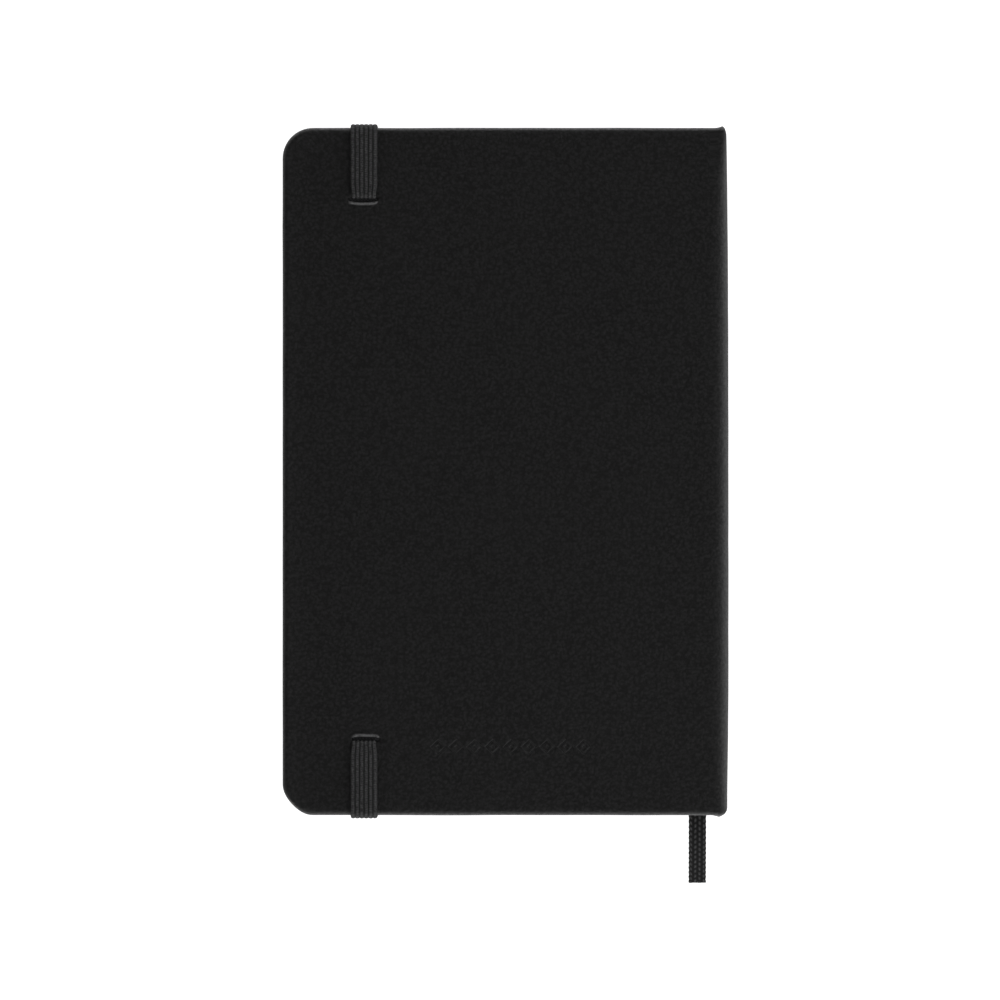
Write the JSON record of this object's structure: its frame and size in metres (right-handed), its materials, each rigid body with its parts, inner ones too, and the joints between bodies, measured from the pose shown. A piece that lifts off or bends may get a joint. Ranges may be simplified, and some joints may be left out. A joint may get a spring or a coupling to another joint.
{
  "type": "pocket notebook",
  "caption": "Hardback pocket notebook with sewn pages, rounded fore-edge corners, an elastic closure band, a ribbon marker and an inner rear pocket.",
  "frame": {"origin": "under the middle of the closed notebook, on the surface it lies on, front cover down", "axes": "+Z out of the back cover, +Y to the head, +X to the spine"},
  "size_m": [0.0904, 0.1549, 0.0159],
  "materials": {
    "cover_leatherette": "matte",
    "board": "matte",
    "endpaper": "matte",
    "page_paper": "matte",
    "pocket_card": "matte",
    "black_cloth": "matte",
    "mull_cloth": "matte",
    "thread": "matte",
    "ribbon": "satin",
    "elastic": "matte"
  },
  "bodies": {
    "book_block": {"spine_skin": "cover_leatherette", "spine_strip": "board", "spine_lining": "mull_cloth", "sewing_thread": "thread", "front_flyleaf": "endpaper", "section_01": "page_paper", "section_02": "page_paper", "section_03": "page_paper", "section_04": "page_paper", "section_05": "page_paper", "section_06": "page_paper", "section_07": "page_paper", "section_08": "page_paper", "section_09": "page_paper", "ribbon_marker": "ribbon", "ribbon_anchor": "ribbon"},
    "front_cover": {"front_board": "board", "front_cover_skin": "cover_leatherette", "front_pastedown": "endpaper"},
    "back_cover": {"back_board": "board", "back_cover_skin": "cover_leatherette", "back_pastedown": "endpaper", "elastic_head_end": "elastic", "elastic_tail_end": "elastic", "elastic_head_leg": "elastic", "elastic_tail_leg": "elastic", "pocket_back_sheet": "endpaper", "pocket_spine_gusset": "black_cloth", "pocket_fore_gusset": "black_cloth", "pocket_base_tape": "black_cloth"},
    "elastic_band": {"elastic_front_run": "elastic"},
    "pocket_panel": {"pocket_panel": "pocket_card"},
    "rear_flyleaf": {"rear_flyleaf": "endpaper"},
    "section_10": {"section_10": "page_paper"},
    "section_11": {"section_11": "page_paper"},
    "section_12": {"section_12": "page_paper"}
  },
  "joints": [
    {"name": "back_cover_hinge", "type": "hinge", "parent": "book_block", "child": "back_cover", "pos_m": [0.0431, 0, 0.01507], "axis": [0, 1, 0], "range_deg": [0, 179]},
    {"name": "front_cover_hinge", "type": "hinge", "parent": "book_block", "child": "front_cover", "pos_m": [0.0431, 0, 0.0008], "axis": [0, -1, 0], "range_deg": [0, 179]},
    {"name": "band_swing", "type": "hinge", "parent": "back_cover", "child": "elastic_band", "pos_m": [-0.0288, 0, 0.00835], "axis": [0, 1, 0], "range_deg": [0, 179], "deforming": ["elastic_front_run", "elastic_head_leg", "elastic_tail_leg"]},
    {"name": "pocket_swing", "type": "hinge", "parent": "back_cover", "child": "pocket_panel", "pos_m": [-0.003, -0.066, 0.0123], "axis": [-1, 0, 0], "range_deg": [0, 6], "deforming": ["pocket_spine_gusset", "pocket_fore_gusset"]},
    {"name": "section_10_turn", "type": "hinge", "parent": "book_block", "child": "section_10", "pos_m": [0.0433, 0, 0.012], "axis": [0, 1, 0], "range_deg": [0, 8.95]},
    {"name": "section_11_turn", "type": "hinge", "parent": "book_block", "child": "section_11", "pos_m": [0.0433, 0, 0.012], "axis": [0, 1, 0], "range_deg": [0, 21.48]},
    {"name": "section_12_turn", "type": "hinge", "parent": "book_block", "child": "section_12", "pos_m": [0.0433, 0, 0.012], "axis": [0, 1, 0], "range_deg": [0, 39.38]},
    {"name": "rear_flyleaf_turn", "type": "hinge", "parent": "book_block", "child": "rear_flyleaf", "pos_m": [0.0433, 0, 0.012], "axis": [0, 1, 0], "range_deg": [0, 75.18]}
  ],
  "couplings": [
    {"joint": "band_swing", "follows": "back_cover_hinge", "ratio": 1},
    {"joint": "pocket_swing", "follows": "back_cover_hinge", "ratio": 0.03352},
    {"joint": "section_10_turn", "follows": "back_cover_hinge", "ratio": 0.05},
    {"joint": "section_11_turn", "follows": "back_cover_hinge", "ratio": 0.12},
    {"joint": "section_12_turn", "follows": "back_cover_hinge", "ratio": 0.22},
    {"joint": "rear_flyleaf_turn", "follows": "back_cover_hinge", "ratio": 0.42}
  ]
}
